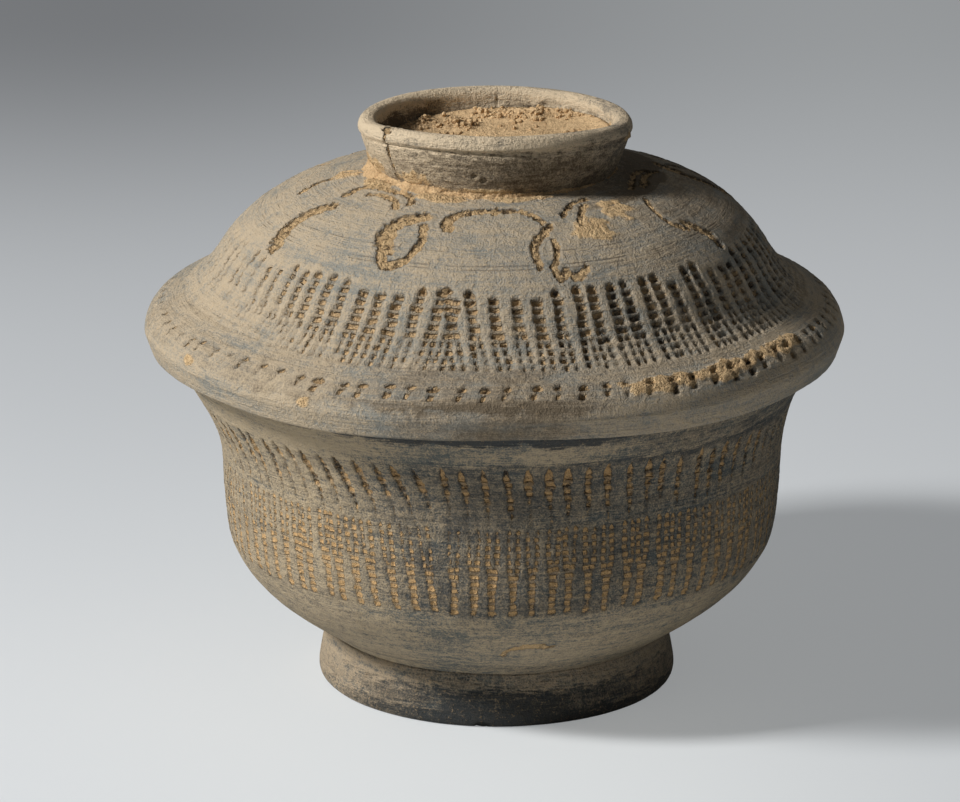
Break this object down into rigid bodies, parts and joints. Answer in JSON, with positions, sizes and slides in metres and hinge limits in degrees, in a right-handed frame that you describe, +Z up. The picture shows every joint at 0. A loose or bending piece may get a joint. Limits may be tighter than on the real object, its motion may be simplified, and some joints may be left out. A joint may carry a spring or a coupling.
{
  "type": "covered bowl",
  "caption": "Round stoneware bowl on a foot ring, with a domed lid that lifts off, an inner flange that centres the lid and a ring knob on top.",
  "frame": {"origin": "centre of the foot ring's underside", "axes": "+Z up along the turning axis; the covered bowl is round, so X and Y are alike; the picture looks along +Y"},
  "size_m": [0.1646, 0.1646, 0.1361],
  "materials": {
    "bowl_body": "matt dark grey stoneware, brown streaks",
    "foot_ring": "matt dark grey stoneware",
    "lid_shell": "matt beige-grey stoneware with ochre soil in the stamps",
    "lid_seat_flange": "matt grey stoneware",
    "lid_knob_ring": "matt beige-grey stoneware, tan soil inside"
  },
  "bodies": {
    "bowl": {"bowl_body": "bowl_body", "foot_ring": "foot_ring"},
    "lid": {"lid_shell": "lid_shell", "lid_seat_flange": "lid_seat_flange", "lid_knob_ring": "lid_knob_ring"}
  },
  "joints": [
    {"name": "lid_lift", "type": "slide", "parent": "bowl", "child": "lid", "axis": [0, 0, 1], "range_m": [0, 0.12]}
  ]
}
